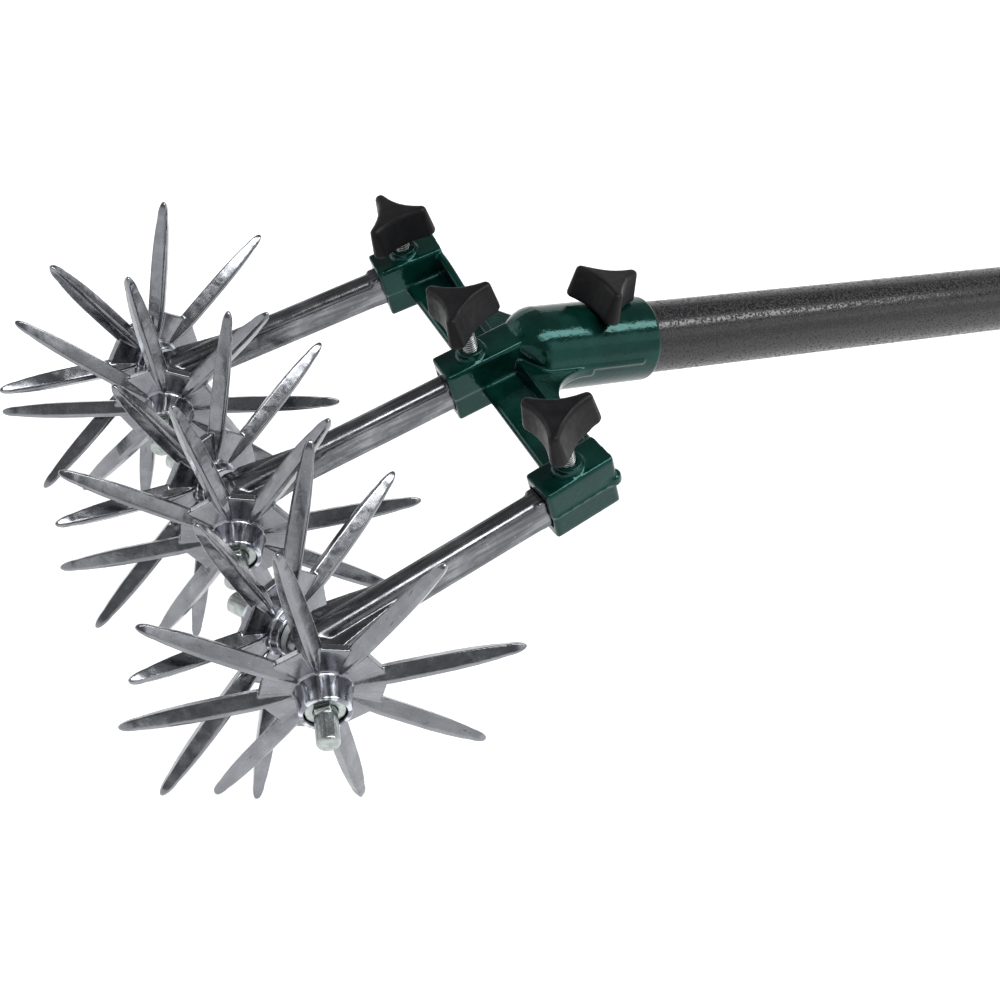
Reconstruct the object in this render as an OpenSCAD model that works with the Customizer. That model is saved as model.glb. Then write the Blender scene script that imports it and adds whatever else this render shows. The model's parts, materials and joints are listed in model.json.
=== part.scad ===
// Rotary hand cultivator: six star wheels in three toed pairs, each pair on a cast
// shank that is clamped in a cast head, and a tubular steel handle clamped behind.
// The tool lies as it would on the ground: on the lowest tines and the end of its
// grip, knobs up. X runs along the crossbar, Y from the wheels to the grip, Z up.

/* [Star wheels] */
// Radius of a wheel to the tips of its tines
wheel_r = 70; // [62:0.5:74]
// Number of tines on a wheel
tine_count = 8; // [6:1:8]
// Width of a tine at its parting edges, across the wheel's plane
tine_w = 8.5; // [6:0.25:9]
// Thickness of a tine along the axle
tine_t = 8; // [6:0.25:8.5]
// Width of the narrow crest on each face of a tine
crest_w = 1.6; // [0.8:0.2:2.4]
// Radius of the web between the tines, to its corners
web_r = 22.8; // [20:0.2:28]
// Thickness of the web
web_t = 3; // [2:0.25:4]
// Radius of the hub where it leaves the web
hub_r = 9.8; // [9:0.1:11]
// Radius of the hub's outer rim
rim_r = 9; // [8.4:0.1:9.6]
// Height of the hub's outer boss above the wheel's middle plane
hub_out = 11.8; // [10:0.1:13]
// Radius of the hub's inner boss
inner_boss_r = 8.4; // [7.5:0.1:9]
// Height of the hub's inner boss below the wheel's middle plane
hub_in = 6.2; // [4.5:0.1:7]
// Radius of the recess for the retaining washer
recess_r = 7.4; // [6.8:0.1:7.8]
// Depth of the recess for the retaining washer
recess_depth = 3; // [2.4:0.1:4]
// Rest positions of the six wheels, near to far: degrees of their first tines
wheel_turn = [-3.9, 9.7, 0.1, 13.5, -8.1, 15.9]; // [-22:0.1:22]

/* [Axles] */
// Diameter of the bent steel axle
axle_d = 8.1; // [7:0.1:8.5]
// Toe angle of each half of the axle
toe = 22.5; // [20:0.5:25]
// Distance from the middle of a shank to the middle of each of its wheels
half_track = 16; // [15.5:0.1:18]
// Length of the axle beyond the middle plane of a wheel
axle_stub = 24; // [20:0.5:28]
// Width across the flattened ears that keep the washer on
ear_w = 10.4; // [9.6:0.1:11]
// Outside diameter of the retaining washer
washer_d = 14.2; // [12.5:0.1:14.4]
// Thickness of the retaining washer
washer_t = 1.4; // [1:0.1:1.8]
// Outside diameter of the nylon spacer
spacer_d = 15.6; // [13:0.1:16.5]
// Thickness of the nylon spacer
spacer_t = 2.8; // [2:0.1:3.2]

/* [Shanks] */
// Distance from the mouth of a socket to the middle of the wheels
shank_reach = 99; // [95:0.5:105]
// Width of a shank's bar
bar_w = 9.5; // [8:0.1:9.8]
// Height of a shank's bar
bar_h = 13.4; // [11:0.1:14]
// Radius of the two upper edges of the bar
bar_round = 3.7; // [2:0.1:4]
// Radius of the two lower edges of the bar
bar_foot_round = 1.4; // [0.8:0.1:2]
// Length of the square tang, from the mouth of an outer socket inwards
tang_len = 24; // [20:0.5:24.5]
// Radius of the cross boss that holds the axle
boss_r = 8.5; // [7.5:0.1:9]
// Height of the flat gusset that braces the cross boss
gusset_h = 7; // [5:0.5:9]
// Distance from the mouth of the socket to the start of the gusset
gusset_start = 56; // [45:1:65]
// Height of the axle below the middle of the bar
axle_drop = 2.5; // [0:0.1:3.5]
// Upward pitch of each shank in the play of its socket: near, middle and far
shank_pitch = [0.9, 0, -0.5]; // [-1:0.1:1]

/* [Head] */
// Distance between neighbouring sockets
socket_pitch = 74.5; // [70:0.5:82]
// Outward swing of the two outer sockets
splay = 5.3; // [3:0.1:7]
// Outside width of a socket
socket_w = 15.2; // [14.4:0.1:17]
// Outside height of a socket
socket_h = 23.8; // [22:0.1:28]
// Length of an outer socket
socket_l = 28.5; // [28:0.5:36]
// Distance by which the middle socket stands forward of and above the outer ones
middle_offset = [3.5, 1]; // [0:0.5:4]
// Depth of the hole for a shank
socket_hole = 25.5; // [25:0.5:26.5]
// Radius of the rounded outer edges of a socket
socket_round = 1.6; // [1:0.1:2.4]
// How far the lower half of a socket stands back from the parting line
parting_step = 0.5; // [0.2:0.1:0.8]
// Radius of the lug on the rear corner of an outer socket
lug_r = 3.2; // [2.4:0.1:3.6]
// Diameter of the boss round each clamping stud
stud_boss_d = 10.6; // [9:0.1:12]
// Height of the boss round each clamping stud
stud_boss_h = 2.8; // [1.5:0.1:4]
// Slope round the foot of the boss of each clamping stud
stud_fillet = 0.9; // [0.4:0.1:1.4]
// Distance of each clamping stud from the mouth of its socket
stud_inset = 14.3; // [10:0.1:17]
// Thickness of the crossbar's shelf
shelf_t = 4; // [3:0.25:6]
// Distance from the mouths of the outer sockets to the front of the shelf
shelf_front = 8.6; // [6:0.1:11]
// Thickness of the wall behind the shelf
rib_t = 3.6; // [3:0.1:5]
// Height of the wall above the shelf
rib_up = 4.2; // [3:0.1:6]
// Depth of the wall below the shelf
rib_down = 4; // [2:0.1:6]
// Length over which the wall climbs to an outer socket
rib_ramp = 24; // [12:1:32]
// Radius of the small inside corners of the casting
fillet_r = 1.6; // [1:0.1:2.4]

/* [Collar and handle] */
// Downward pitch of the handle against the sockets
handle_pitch = 25; // [20:0.5:30]
// Height of the handle's axis above the tops of the outer sockets, at their mouths
handle_z = 3.9; // [2:0.1:6]
// Outside diameter of the handle tube
tube_d = 28.6; // [27:0.1:30]
// Wall of the handle tube
tube_wall = 1.2; // [1:0.1:2]
// Length of the handle tube
tube_len = 1180; // [900:10:1250]
// Wall of the collar round the handle tube
collar_wall = 2.6; // [2.2:0.1:4]
// Distance along the handle's axis to the rear end of the collar
collar_end = 88; // [86:0.5:100]
// Distance along the handle's axis to the bottom of the collar's bore
collar_floor = 40; // [38:0.5:44]
// Distance along the handle's axis to the collar's clamping stud
collar_stud = 66; // [60:0.5:72]
// Distance along the handle's axis at which the neck has grown to the round collar
neck_s = 37; // [36:0.5:39]
// Length along the collar over which each web sweeps out to the crossbar
web_sweep = 25; // [14:0.5:28]
// Reach of each web along the crossbar, from the side of the collar
web_reach = 21; // [12:0.5:26]
// Length of the grip
grip_len = 130; // [100:5:160]
// Wall of the grip
grip_wall = 2.6; // [2:0.1:4]
// Number of grooves round the grip
grip_grooves = 9; // [5:1:12]

/* [Knobs] */
// Height of a clamping knob
knob_h = 13; // [11:0.5:15]
// Radius of a knob to the ends of its three lobes, at its widest
knob_r = 15.6; // [14:0.1:18]
// Radius of the rounded end of a lobe
lobe_r = 3.6; // [3:0.1:4.5]
// Radius of a knob at its waist, between two lobes
knob_waist = 7.4; // [6.5:0.1:8.5]
// Draft of the knob's sides, from bottom to top
knob_draft = 1.4; // [0.6:0.1:2]
// Diameter of the clamping studs
stud_d = 6; // [5:0.5:6]
// Gaps between stud boss and knob: near, middle and far socket
knob_gap = [13.2, 13.2, 6]; // [2:0.1:16]
// Gap between the collar and its knob
collar_knob_gap = 0.9; // [0.6:0.1:3]
// Rest angles of the knobs: near, middle and far socket, and the collar
knob_turn = [84, 87, 66, 104]; // [0:1:119]

/* [Fits] */
// Radial clearance of a wheel, spacer or washer on its axle
axle_fit = 0.1; // [0.05:0.01:0.1]
// Radial clearance of an axle in its shank, and of a stud in the head
press_fit = 0.04; // [0.02:0.01:0.1]
// Clearance round a shank's tang in its socket
tang_fit = 0.45; // [0.35:0.05:0.6]
// Radial clearance of the tube in its collar and in its grip
tube_fit = 0.1; // [0.05:0.01:0.2]
// Gap between faces that pass each other
face_gap = 0.3; // [0.2:0.05:0.4]

/* [Hidden] */

$fn = 64;
eps = 0.01;
steel = "silver";
casting = "gainsboro";
paint = [0.03, 0.2, 0.14];

// The parting plane of the head, halfway down the outer sockets
part_z = -socket_h / 2;
bar_z = part_z + 0.4;
axle_r = axle_d / 2;
stud_r = stud_d / 2;
tube_r = tube_d / 2;
collar_r = tube_r + tube_fit + collar_wall;
// The bend in the axle, behind the middle of the wheels
bend_reach = shank_reach - half_track * tan(toe);
// Places along each half of the axle, counted from the bend
mid_plane = half_track / cos(toe);
spacer_out = mid_plane - hub_in - face_gap;
boss_end = spacer_out - spacer_t - eps;
recess_floor = mid_plane + hub_out - recess_depth;
washer_in = recess_floor + face_gap;
ear_in = washer_in + washer_t + eps;
ear_len = 2.2;
axle_end = mid_plane + axle_stub;
pairs = [1, 0, -1];
sides = [1, -1];

// Tip of tine k on wheel w, in the head's own frame
function pair_of(w) = pairs[floor(w / 2)];
function side_of(w) = sides[w % 2];
function turned(v, a) = [v.x * cos(a) - v.y * sin(a), v.x * sin(a) + v.y * cos(a), v.z];
function pitched(v, a) = [v.x, v.y * cos(a) + v.z * sin(a), v.z * cos(a) - v.y * sin(a)];
function tip(w, k) =
    let (a = wheel_turn[w] + 360 / tine_count * k)
    let (axle = [side_of(w) * half_track, -shank_reach - tang_len / 2, -axle_drop])
    let (tine = wheel_r * [-side_of(w) * sin(toe) * cos(a), -cos(toe) * cos(a), -sin(a)])
    let (local = [0, tang_len / 2, bar_z] + pitched(axle + tine, shank_pitch[floor(w / 2)]))
    [pair_of(w) * socket_pitch, 0, 0] + turned(local, pair_of(w) * splay);
tips = [for (w = [0:5]) for (k = [0:tine_count - 1]) tip(w, k)];

// The tool tips forward until its lowest tines and the rim of the grip meet the ground
tube_start = collar_floor + 1;
tube_end = tube_start + tube_len;
grip_r = tube_r + tube_fit + grip_wall;
flange_r = grip_r + 1.6;
flange_edge = 2;
grip_cap = 4;
grip_end = tube_end + grip_cap;
function on_axis(s) = [0, s * cos(handle_pitch), handle_z - s * sin(handle_pitch)];
function lifted(p, tilt) = p.y * sin(tilt) + p.z * cos(tilt);
function advanced(p, tilt) = p.y * cos(tilt) - p.z * sin(tilt);
function low_tine(tilt) = min([for (p = tips) lifted(p, tilt)]);
function low_rim(tilt) =
    lifted(on_axis(grip_end - flange_edge), tilt) - flange_r * cos(tilt - handle_pitch);
function settled(tilt, steps) = steps == 0 ? tilt
    : settled(tilt + atan((low_tine(tilt) - low_rim(tilt)) / (grip_end + shank_reach)), steps - 1);
head_tilt = settled(handle_pitch, 6);
rest_height = -low_tine(head_tilt);
front_y = min([for (p = tips) advanced(p, head_tilt)]);
rear_y = advanced(on_axis(grip_end), head_tilt);
rest_shift = -(front_y + rear_y) / 2;

// Frames that the pieces are placed in
module head_frame() {
    translate([0, rest_shift, rest_height]) rotate([head_tilt, 0, 0]) children();
}

module socket_frame(i) {
    translate([i * socket_pitch, 0, 0]) rotate([0, 0, i * splay]) children();
}

// Origin at the middle of the bar over the mouth of the socket
module shank_frame(i) {
    socket_frame(i) translate([0, tang_len / 2, bar_z]) rotate([-shank_pitch[1 - i], 0, 0])
        translate([0, -tang_len / 2, 0]) children();
}

module axle_frame(i, side) {
    head_frame() shank_frame(i) translate([0, -bend_reach, -axle_drop])
        rotate([0, 0, side > 0 ? -toe : 180 + toe]) rotate([0, 90, 0]) children();
}

module handle_frame() {
    translate([0, 0, handle_z]) rotate([-90 - handle_pitch, 0, 0]) children();
}

// A rectangle with its own radius at the two upper and the two lower corners
module rounded_section(w, h, upper, lower) {
    square([w - 2 * upper, h], center = true);
    translate([-w / 2, -h / 2 + lower]) square([w, h - upper - lower]);
    translate([-w / 2 + lower, -h / 2]) square([w - 2 * lower, h / 2]);
    for (s = [-1, 1]) {
        translate([s * (w / 2 - upper), h / 2 - upper]) circle(upper);
        translate([s * (w / 2 - lower), lower - h / 2]) circle(lower);
    }
}

// A block along Y, rounded along its length and at its upright edges
module rounded_block(w, l, h, r) {
    intersection() {
        translate([0, l, 0]) rotate([90, 0, 0]) linear_extrude(l) rounded_section(w, h, r, r);
        translate([0, l / 2, -h / 2]) linear_extrude(h) rounded_section(w, l, r, r);
    }
}

// A concave inside corner along X, filling the quadrant behind and below the axis,
// sunk a little into both walls
module inside_corner(length, r) {
    sunk = 0.06;
    rotate([90, 0, 90]) translate([-sunk, -sunk]) linear_extrude(length, center = true) difference() {
        translate([-r / 8, -r / 8]) square(r * 9 / 8);
        translate([r, r]) circle(r);
    }
}

// Star wheel
// Width and thickness of a tine both grow from the hub to the web's edge,
// stay full to the middle of the tine and close in a blunt leaf-shaped point
full_r = wheel_r * 0.5;
function root_share(r) = min(1, max(0.16, (r - hub_r * 0.8) / (web_r - hub_r * 0.8)));
function tip_share(r) = r <= full_r ? 1 : sqrt(max(0, 1 - pow((r - full_r) / (wheel_r - full_r), 2.3)));
function tine_ring(r) =
    let (w = tine_w / 2 * tip_share(r) * root_share(r))
    let (c = crest_w / 2 * tip_share(r) * root_share(r))
    let (t = tip_share(r) * max(web_t / 2 * 0.9, tine_t / 2 * root_share(r)))
    [[r, w, 0], [r, c, t], [r, -c, t], [r, -w, 0], [r, -c, -t], [r, c, -t]];

module tine() {
    reach = wheel_r - full_r;
    stations = concat(
        [hub_r * 0.7, hub_r, (hub_r + web_r) / 2, web_r],
        [for (u = [0, 0.3, 0.5, 0.68, 0.82, 0.92, 0.975, 0.995]) full_r + u * reach]);
    rings = [for (r = stations) tine_ring(r)];
    count = len(rings);
    points = concat([for (ring = rings) for (p = ring) p], [[wheel_r, 0, 0]]);
    side_faces = [for (i = [0:count - 2]) for (j = [0:5])
        let (a = i * 6 + j, b = i * 6 + (j + 1) % 6)
        each [[a, b + 6, b], [a, a + 6, b + 6]]];
    point_faces = [for (j = [0:5]) [(count - 1) * 6 + j, count * 6, (count - 1) * 6 + (j + 1) % 6]];
    polyhedron(points, concat([[0, 1, 2, 3, 4, 5]], side_faces, point_faces), convexity = 4);
}

module star_wheel(turn) {
    color(casting) difference() {
        union() {
            rotate_extrude() polygon([
                [0, -hub_in], [inner_boss_r - 0.6, -hub_in], [inner_boss_r, -hub_in + 0.6],
                [inner_boss_r + 0.3, -web_t / 2 - 1], [inner_boss_r + 1.6, -web_t / 2],
                [hub_r + 0.6, web_t / 2], [hub_r, web_t / 2 + 0.7],
                [rim_r + 0.1, hub_out - 0.6], [rim_r - 0.5, hub_out], [0, hub_out]]);
            rotate([0, 0, turn]) cylinder(r = web_r, h = web_t, center = true, $fn = tine_count);
            for (k = [0:tine_count - 1]) rotate([0, 0, turn + 360 / tine_count * k]) tine();
        }
        translate([0, 0, -hub_in - 1]) cylinder(r = axle_r + axle_fit, h = hub_in + hub_out + 2);
        translate([0, 0, hub_out - recess_depth]) cylinder(r = recess_r, h = recess_depth + 1);
    }
}

module placed_wheel(w) {
    side = side_of(w);
    axle_frame(pair_of(w), side) translate([0, 0, mid_plane])
        star_wheel(side * (wheel_turn[w] - 90));
}

// Nylon spacer between the shank and a wheel
module spacer(w) {
    color("whitesmoke") axle_frame(pair_of(w), side_of(w))
        translate([0, 0, spacer_out - spacer_t]) difference() {
            cylinder(d = spacer_d, h = spacer_t);
            translate([0, 0, -1]) cylinder(r = axle_r + axle_fit, h = spacer_t + 2);
        }
}

// Retaining washer in the recess of a hub
module washer(w) {
    color(steel) axle_frame(pair_of(w), side_of(w)) translate([0, 0, washer_in]) difference() {
        cylinder(d = washer_d, h = washer_t);
        translate([0, 0, -1]) cylinder(r = axle_r + axle_fit, h = washer_t + 2);
    }
}

// Bent axle, flattened outside each washer so that it can't come back through
module half_axle(grow, reach) {
    cylinder(r = axle_r + grow, h = reach);
}

module axle(i) {
    color(steel) {
        for (side = sides) axle_frame(i, side) {
            half_axle(0, axle_end - 0.8);
            translate([0, 0, axle_end - 0.8]) cylinder(r1 = axle_r, r2 = axle_r - 0.8, h = 0.8);
            translate([-ear_w / 2, -axle_r * 0.7, ear_in]) cube([ear_w, axle_r * 1.4, ear_len]);
        }
        axle_frame(i, 1) sphere(axle_r);
    }
}

// Cast shank: square tang, round-topped bar, gusset and cross boss
module shank_body() {
    half = boss_end * cos(toe) + boss_r * sin(toe);
    edge_y = -bend_reach - boss_end * sin(toe) + boss_r * cos(toe);
    inner = [half, edge_y] - boss_r * [sin(toe), cos(toe)];
    translate([0, tang_len, 0]) rotate([90, 0, 0])
        linear_extrude(tang_len + 3) rounded_section(bar_w, bar_h, 0.8, 0.8);
    rotate([90, 0, 0]) linear_extrude(bend_reach)
        rounded_section(bar_w, bar_h, bar_round, bar_foot_round);
    translate([0, 0, -gusset_h / 2]) linear_extrude(gusset_h) polygon([
        [-bar_w / 2, -gusset_start], [bar_w / 2, -gusset_start],
        [half, edge_y], inner, [-inner.x, inner.y], [-half, edge_y]]);
}

module shank(i) {
    color(casting) difference() {
        union() {
            head_frame() shank_frame(i) shank_body();
            for (side = sides) axle_frame(i, side) cylinder(r = boss_r, h = boss_end);
            axle_frame(i, 1) sphere(boss_r);
        }
        for (side = sides) axle_frame(i, side) {
            half_axle(press_fit, boss_end + 1);
            translate([0, 0, boss_end]) cylinder(d = spacer_d + 1, h = spacer_t);
        }
        axle_frame(i, 1) sphere(axle_r + press_fit);
    }
}

// Head casting
// The lower half of a socket is drawn in a little from the parting line
module socket_block(forward, raise) {
    length = socket_l + forward;
    translate([0, -forward, part_z + raise]) {
        intersection() {
            rounded_block(socket_w, length, socket_h, socket_round);
            translate([-socket_w, -1, -parting_step]) cube([2 * socket_w, length + 2, socket_h]);
        }
        translate([0, parting_step, 0])
            rounded_block(socket_w - 2 * parting_step, length - 2 * parting_step, socket_h, socket_round);
    }
    translate([0, stud_inset - forward, raise - 1]) {
        cylinder(d = stud_boss_d, h = 1 + stud_boss_h);
        cylinder(d1 = stud_boss_d + 2 * (1 + stud_fillet), d2 = stud_boss_d, h = 1 + stud_fillet);
    }
}

module socket_cut(forward, raise) {
    translate([-bar_w / 2 - tang_fit, -forward - 1, bar_z - bar_h / 2 - tang_fit])
        cube([bar_w + 2 * tang_fit, socket_hole + forward + 1, bar_h + 2 * tang_fit]);
    translate([0, stud_inset - forward, bar_z]) cylinder(r = stud_r + press_fit, h = -bar_z + raise + stud_boss_h + 1);
}

shelf_z = part_z + 0.4;
rib_top = shelf_z + rib_up;
rib_rear = socket_l * cos(splay) - 0.3;
rib_foot = shelf_z - shelf_t - rib_down;
rib_reach = socket_pitch - socket_l * sin(splay) - 2;

// Height of the wall's top at x: level between the sockets, then an even climb
function rib_climb(x) = min(1, max(0, (abs(x) - rib_reach + socket_w / 2 + rib_ramp - 2) / rib_ramp));
function rib_height(x) = rib_top - (rib_top + socket_round) * (1 - cos(180 * rib_climb(x))) / 2;
function rib_section(x) = [
    for (a = [0:36:180]) [x, rib_t / 2 * cos(a), rib_height(x) - rib_t / 2 + rib_t / 2 * sin(a)],
    for (a = [180:36:360]) [x, rib_t / 2 * cos(a), rib_foot + rib_t / 2 + rib_t / 2 * sin(a)]];

// Closed solid through sections that have the same number of points
module loft(sections) {
    n = len(sections[0]);
    last = len(sections) - 1;
    points = [for (section = sections) each section];
    walls = [for (i = [0:last - 1]) for (j = [0:n - 1])
        let (a = i * n + j, b = i * n + (j + 1) % n)
        each [[a, b + n, b], [a, a + n, b + n]]];
    polyhedron(points, concat([[for (j = [0:n - 1]) j]], walls,
        [[for (j = [n - 1:-1:0]) last * n + j]]), convexity = 4);
}

// The shelf and the wall behind it, which climbs to the outer sockets
module crossbar() {
    steps = 10;
    level = rib_reach - socket_w / 2 - rib_ramp + 2;
    climb = [for (k = [0:steps]) level + rib_ramp * k / steps];
    translate([-rib_reach, shelf_front, shelf_z - shelf_t / 2]) rotate([90, 0, 90])
        linear_extrude(2 * rib_reach) {
            translate([shelf_t / 2, -shelf_t / 2])
                square([rib_rear - shelf_front - shelf_t / 2 - rib_t / 2, shelf_t]);
            translate([shelf_t / 2, 0]) circle(d = shelf_t);
        }
    translate([0, rib_rear - rib_t / 2, 0]) loft([
        for (x = concat([-rib_reach], [for (k = [steps:-1:0]) -climb[k]], climb, [rib_reach]))
            rib_section(x)]);
    translate([0, rib_rear - rib_t, shelf_z]) mirror([0, 1, 0]) inside_corner(2 * rib_reach, fillet_r);
}

// Inside corners between the shelf and the walls of the sockets
module shelf_corners() {
    run = rib_rear - shelf_front - shelf_t - rib_t / 2;
    for (i = pairs) socket_frame(i) for (s = [-1, 1]) if (i * s <= 0)
        translate([s * socket_w / 2, shelf_front + shelf_t + run / 2, shelf_z])
            rotate([0, 0, s * 90]) mirror([0, s > 0 ? 1 : 0, 0]) inside_corner(run, fillet_r);
}

// Thin ridge and lug that the two halves of the mould leave on the outer sockets
module parting_ridge() {
    ridge = 0.6;
    for (s = [-1, 1]) socket_frame(s) translate([0, 0, part_z - ridge / 2]) {
        translate([min(0, s * (socket_w / 2 + ridge)), socket_round, 0])
            cube([socket_w / 2 + ridge, socket_l - 2 * socket_round, ridge]);
        translate([s * (socket_w / 2 - lug_r * 0.65), socket_l - lug_r * 0.4, -1]) cylinder(r = lug_r, h = 3.6);
    }
}

// Neck that grows out of the back of the middle socket, and the collar itself
handle_axis = [0, cos(handle_pitch), -sin(handle_pitch)];
neck_points = 32;
neck_steps = 6;
neck_inset = 0.35;
neck_w = socket_w / 2 - neck_inset;
neck_top = middle_offset[1] - neck_inset;
neck_h = socket_h * 0.84;
// Even blend that keeps its steepest part at the socket
function swell(t) = 1 - pow(1 - t, 1.5);
function squared(c) = sign(c) * pow(abs(c), 0.3);
// Point of the neck's foot at angle a, in the head's frame: level with the walls of the socket
function neck_foot(a) =
    let (z = neck_top - (1 - squared(sin(a))) * neck_h / 2, low = min(0, z - part_z))
    [neck_w * squared(cos(a)), socket_l - socket_round + low * tan(handle_pitch), z];
function neck_end(a) = on_axis(neck_s) + (collar_r - 0.15)
    * [cos(a), sin(a) * sin(handle_pitch), sin(a) * cos(handle_pitch)];
function neck_section(t) = [for (k = [0:neck_points - 1])
    let (a = -360 * k / neck_points, foot = neck_foot(a), way = neck_end(a) - foot,
        along = (way * handle_axis) * handle_axis)
    foot + along * t + (way - along) * swell(t)];

module collar() {
    root = [for (p = neck_section(0)) [p.x * 0.8, socket_l * 0.5, p.z * 0.8 + part_z * 0.2]];
    loft(concat([root], [for (k = [0:neck_steps]) neck_section(k / neck_steps)]));
    handle_frame() rotate_extrude() polygon([
        [0, neck_s - 0.2], [collar_r - 0.3, neck_s - 0.2], [collar_r, neck_s + 0.4],
        [collar_r, collar_end - 1.2],
        [collar_r - 0.4, collar_end - 0.4], [collar_r - 1.2, collar_end], [0, collar_end]]);
}

// Webs that sweep from the crossbar into the sides of the collar, and their ridge
module collar_webs() {
    web_h = 4.4;
    ridge_w = 0.6;
    ridge_h = 1.4;
    ridge_z = 1.6;
    root_s = (rib_rear - rib_t) / cos(handle_pitch);
    sweep_s = (rib_rear + 0.8) / cos(handle_pitch) + web_sweep;
    handle_frame() rotate([90, 0, 0]) for (s = [0, 1]) mirror([s, 0, 0]) {
        translate([0, 0, ridge_z - web_h]) linear_extrude(web_h) difference() {
            translate([0, root_s]) square([collar_r + web_reach, sweep_s - root_s]);
            translate([collar_r + ridge_w + web_reach, sweep_s])
                scale([web_reach / web_sweep, 1]) circle(web_sweep);
        }
        translate([0, sweep_s - 1, ridge_z - ridge_h])
            linear_extrude(ridge_h) square([collar_r + ridge_w, collar_end - 7 - sweep_s]);
    }
}

module head_casting() {
    color(paint) head_frame() difference() {
        union() {
            for (i = [-1, 1]) socket_frame(i) socket_block(0, 0);
            socket_block(middle_offset[0], middle_offset[1]);
            crossbar();
            shelf_corners();
            parting_ridge();
            collar();
            collar_webs();
        }
        for (i = [-1, 1]) socket_frame(i) socket_cut(0, 0);
        socket_cut(middle_offset[0], middle_offset[1]);
        handle_frame() {
            translate([0, 0, collar_floor]) cylinder(r = tube_r + tube_fit, h = collar_end);
            translate([0, 0, collar_stud]) rotate([90, 0, 0])
                cylinder(r = stud_r + press_fit, h = collar_r + 5);
        }
    }
}

// Handle tube and grip
module handle_tube() {
    color([0.2, 0.2, 0.22]) head_frame() handle_frame() translate([0, 0, tube_start]) difference() {
        cylinder(r = tube_r, h = tube_len);
        translate([0, 0, -1]) cylinder(r = tube_r - tube_wall, h = tube_len + 2);
    }
}

module handle_grip() {
    step = (grip_len - 30) / grip_grooves;
    color([0.08, 0.08, 0.08]) head_frame() handle_frame()
        translate([0, 0, grip_end - grip_len]) difference() {
            rotate_extrude() polygon(concat(
                [[0, 0], [grip_r - 0.8, 0], [grip_r, 1.2], [grip_r, 12]],
                [for (g = [0:grip_grooves - 1]) each [
                    [grip_r, 14 + g * step], [grip_r - 0.9, 15 + g * step],
                    [grip_r - 0.9, 17 + g * step], [grip_r, 18 + g * step]]],
                [[grip_r, grip_len - 10], [flange_r, grip_len - 7], [flange_r, grip_len - flange_edge],
                 [flange_r - 2, grip_len], [0, grip_len]]));
            translate([0, 0, -1]) cylinder(r = tube_r + tube_fit, h = grip_len - grip_cap + 1 + eps);
        }
}

// Clamping knobs and studs
// Outline of a knob: three round lobes joined by hollow arcs that touch them,
// drawn in by the inset all round
lobe_at = knob_r - lobe_r;
hollow_at = (lobe_at * lobe_at - pow(lobe_r - knob_waist, 2)) / (lobe_at + 2 * (lobe_r - knob_waist));
hollow_r = hollow_at - knob_waist;
hollow_turn = atan2(lobe_at * sin(60), hollow_at - lobe_at * cos(60));
lobe_turn = 180 - 60 - hollow_turn;
lobe_steps = 6;
hollow_steps = 6;
function knob_outline(inset) = [for (k = [0:2]) each concat(
    [for (n = [-lobe_steps / 2:lobe_steps / 2])
        let (a = 120 * k + n * 2 * lobe_turn / lobe_steps)
        lobe_at * [cos(120 * k), sin(120 * k)] + (lobe_r - inset) * [cos(a), sin(a)]],
    [for (n = [1 - hollow_steps / 2:hollow_steps / 2 - 1])
        let (a = 120 * k + 240 - n * 2 * hollow_turn / hollow_steps)
        hollow_at * [cos(120 * k + 60), sin(120 * k + 60)] + (hollow_r + inset) * [cos(a), sin(a)]])];

// Side profile of a knob: height and inset of each layer
knob_layers = [
    [0, 0.7], [0.25, 0.2], [0.8, 0],
    [knob_h - 1.5, knob_draft], [knob_h - 0.8, knob_draft + 0.25],
    [knob_h - 0.25, knob_draft + 0.8], [knob_h, knob_draft + 1.6]
];

module knob_shape() {
    loft([for (layer = knob_layers) [for (p = knob_outline(layer[1])) [p.x, p.y, layer[0]]]]);
}

stud_grip = 8;
module knob(turn) {
    color([0.07, 0.07, 0.08]) difference() {
        rotate([0, 0, turn]) knob_shape();
        translate([0, 0, -1]) cylinder(r = stud_r + press_fit, h = stud_grip + 1 + eps);
    }
}

// Zinc stud, from its foot to the end that is moulded into the knob
module stud(length) {
    color(steel) {
        cylinder(r1 = stud_r - 0.8, r2 = stud_r, h = 0.8);
        translate([0, 0, 0.8]) cylinder(r = stud_r, h = length - 0.8);
    }
}

stud_foot = bar_z + bar_h / 2 + face_gap;
function knob_base(n) = (n == 1 ? middle_offset[1] : 0) + stud_boss_h + knob_gap[n];

// Middle of each clamping stud, behind the mouth of an outer socket
function stud_y(n) = stud_inset - (n == 1 ? middle_offset[0] : 0);

module socket_knob(n) {
    head_frame() socket_frame(pairs[n]) translate([0, stud_y(n), knob_base(n)]) knob(knob_turn[n]);
}

module socket_stud(n) {
    head_frame() socket_frame(pairs[n]) translate([0, stud_y(n), stud_foot])
        stud(knob_base(n) - stud_foot + stud_grip);
}

module collar_stud_frame(height) {
    head_frame() handle_frame() translate([0, 0, collar_stud]) rotate([90, 0, 0])
        translate([0, 0, height]) children();
}

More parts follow.
